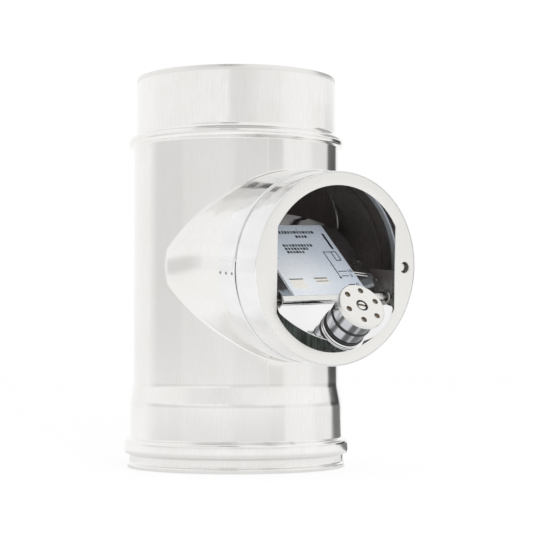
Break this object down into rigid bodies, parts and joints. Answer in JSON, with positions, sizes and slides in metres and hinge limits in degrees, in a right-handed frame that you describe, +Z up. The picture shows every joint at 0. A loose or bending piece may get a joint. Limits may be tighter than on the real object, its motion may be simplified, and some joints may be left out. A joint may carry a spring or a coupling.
{
  "type": "flue draft regulator",
  "caption": "Flue tee in stainless steel with a draft regulator in its branch: a flap on pivot pins, balanced by an adjusting weight on a threaded spindle.",
  "frame": {"origin": "on the flue pipe's axis, at the level of its lower lip", "axes": "+Z up the flue pipe, the branch with the regulator points along -Y, +X to the right seen from the front"},
  "size_m": [0.163, 0.2482, 0.2835],
  "materials": {
    "stainless": "bright drawn stainless sheet",
    "mirror_steel": "mirror-finished stainless",
    "dull_steel": "plain machined steel",
    "rubber": "matt black rubber",
    "label": "pale blue-silver foil"
  },
  "bodies": {
    "tee": {"flue_pipe": "stainless", "socket_gasket": "rubber", "branch_stub": "stainless", "branch_sleeve": "mirror_steel", "regulator_case": "mirror_steel", "case_gasket": "rubber", "spot_weld_rear": "dull_steel", "spot_weld_mid": "dull_steel", "spot_weld_front": "dull_steel", "front_ring": "stainless", "set_screw": "dull_steel", "bracket_left": "mirror_steel", "bracket_right": "mirror_steel", "pivot_pin_left": "dull_steel", "pivot_pin_right": "dull_steel", "bracket_rivet_left": "dull_steel", "bracket_rivet_right": "dull_steel", "opening_stop_left": "rubber", "opening_stop_right": "rubber"},
    "flap": {"upper_leaf": "mirror_steel", "label_plate": "label", "joint_bar": "dull_steel", "flap_ear_left": "dull_steel", "flap_ear_right": "dull_steel", "leaf_rivet_left": "dull_steel", "leaf_rivet_right": "dull_steel", "lower_leaf": "mirror_steel", "weight_disc": "mirror_steel", "spindle": "dull_steel", "spindle_nut": "dull_steel"},
    "carrier": {"weight_core": "dull_steel"},
    "weight": {"weight_body": "mirror_steel", "weight_ring_low": "rubber", "weight_ring_mid": "rubber", "weight_head": "stainless", "weight_screw": "dull_steel"}
  },
  "joints": [
    {"name": "flap_swing", "type": "hinge", "parent": "tee", "child": "flap", "pos_m": [0.00084, -0.12158, 0.11957], "axis": [-0.9991, 0.0038, -0.0417], "range_deg": [-29, 12]},
    {"name": "weight_travel", "type": "slide", "parent": "flap", "child": "carrier", "axis": [-0.0265, -0.829, 0.5586], "range_m": [0, 0.009]},
    {"name": "weight_turn", "type": "hinge", "parent": "carrier", "child": "weight", "pos_m": [-0.00133, -0.13411, 0.09837], "axis": [-0.0265, -0.829, 0.5586], "range_deg": [0, 2170]}
  ],
  "couplings": [
    {"joint": "weight_turn", "follows": "weight_travel", "rad_per_m": 4188.8}
  ]
}
